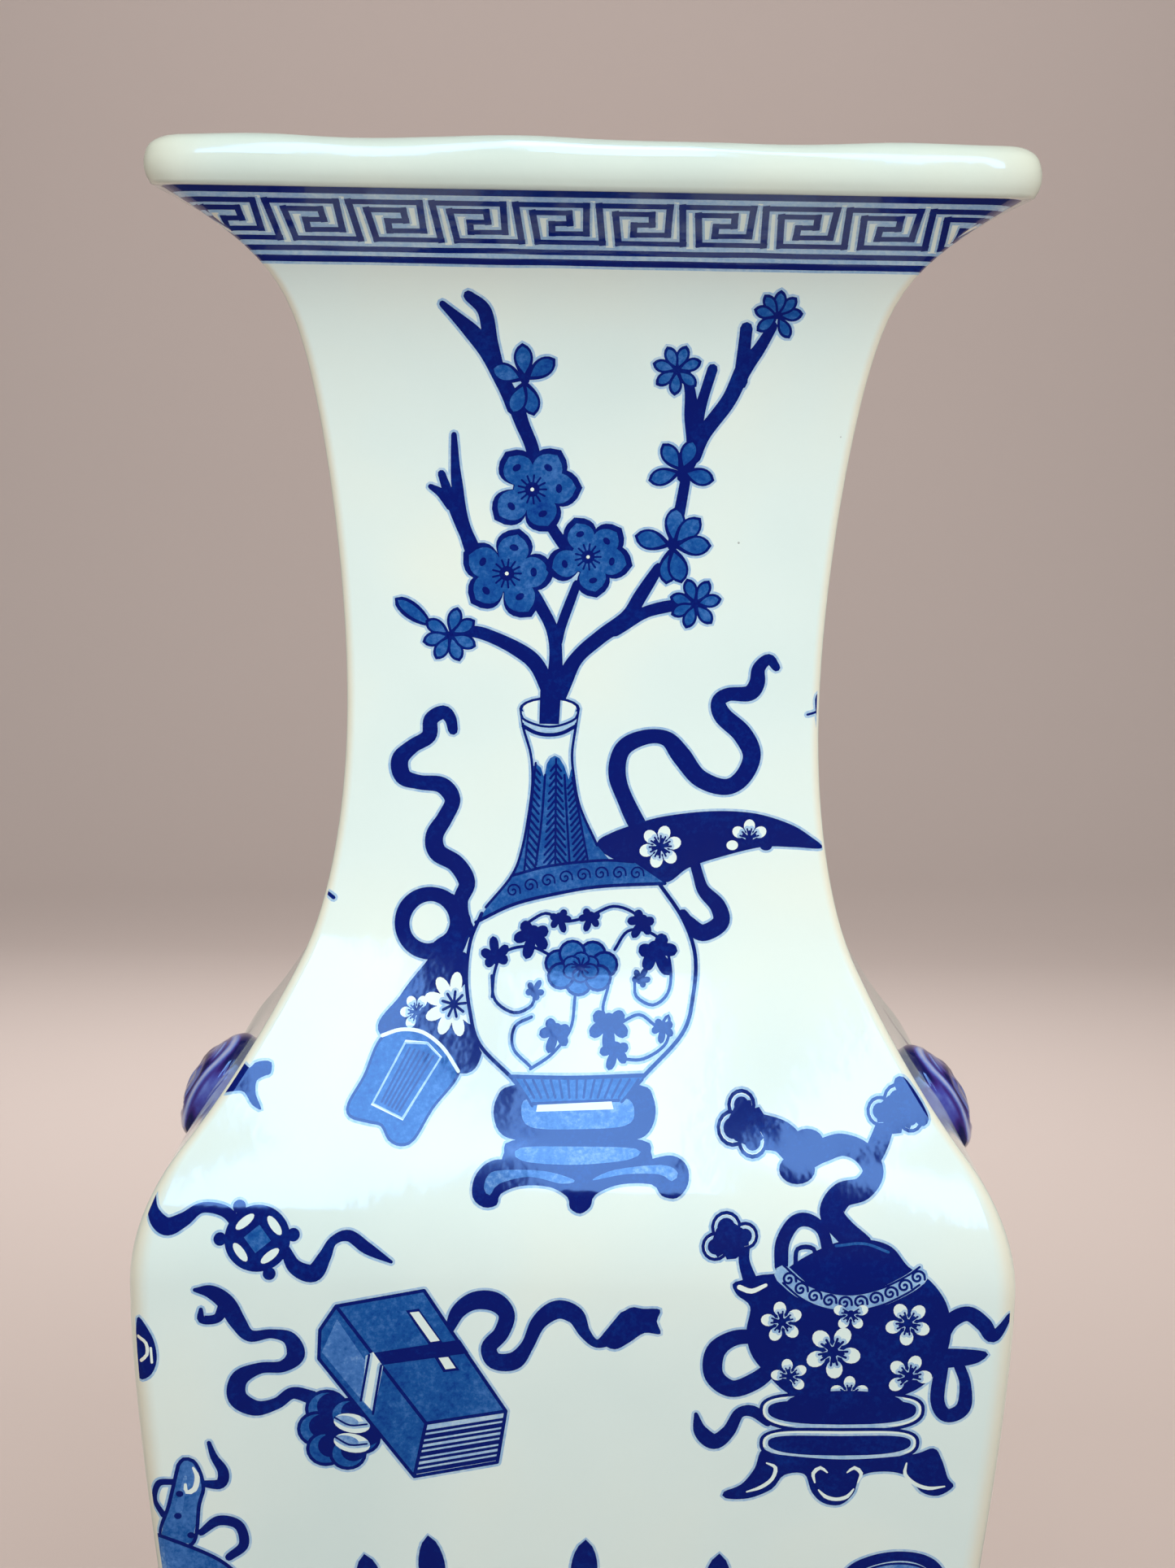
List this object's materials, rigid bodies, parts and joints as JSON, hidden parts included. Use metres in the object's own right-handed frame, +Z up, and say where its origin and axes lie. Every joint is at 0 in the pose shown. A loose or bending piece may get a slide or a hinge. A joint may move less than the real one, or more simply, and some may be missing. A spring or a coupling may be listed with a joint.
{
  "type": "porcelain vase",
  "caption": "Tall square baluster vase in blue-and-white porcelain, with a rolled square lip, a flared neck, sloping shoulders with mask handles and a tapering body on a low foot.",
  "frame": {"origin": "centre of the foot's bottom, on the surface that the vase stands on", "axes": "+Z up to the mouth, the front face looks along -Y, a mask handle on each of the +X and -X shoulders"},
  "size_m": [0.1802, 0.1766, 0.46],
  "materials": {
    "glaze": "glossy clear glaze over white porcelain, with cobalt blue painting under it",
    "blue_glaze": "glossy clear glaze over mid blue and navy",
    "biscuit": "matt unglazed porcelain"
  },
  "bodies": {
    "root": {"lip_rim": "glaze", "neck_wall_front": "glaze", "neck_wall_right": "glaze", "neck_wall_back": "glaze", "neck_wall_left": "glaze", "shoulder_wall_front": "glaze", "shoulder_wall_right": "glaze", "shoulder_wall_back": "glaze", "shoulder_wall_left": "glaze", "body_wall_front": "glaze", "body_wall_right": "glaze", "body_wall_back": "glaze", "body_wall_left": "glaze", "foot_strip_front": "glaze", "foot_strip_right": "glaze", "foot_strip_back": "glaze", "foot_strip_left": "glaze", "base_slab": "biscuit", "mask_handle_left": "blue_glaze", "mask_handle_right": "blue_glaze"}
  },
  "joints": []
}
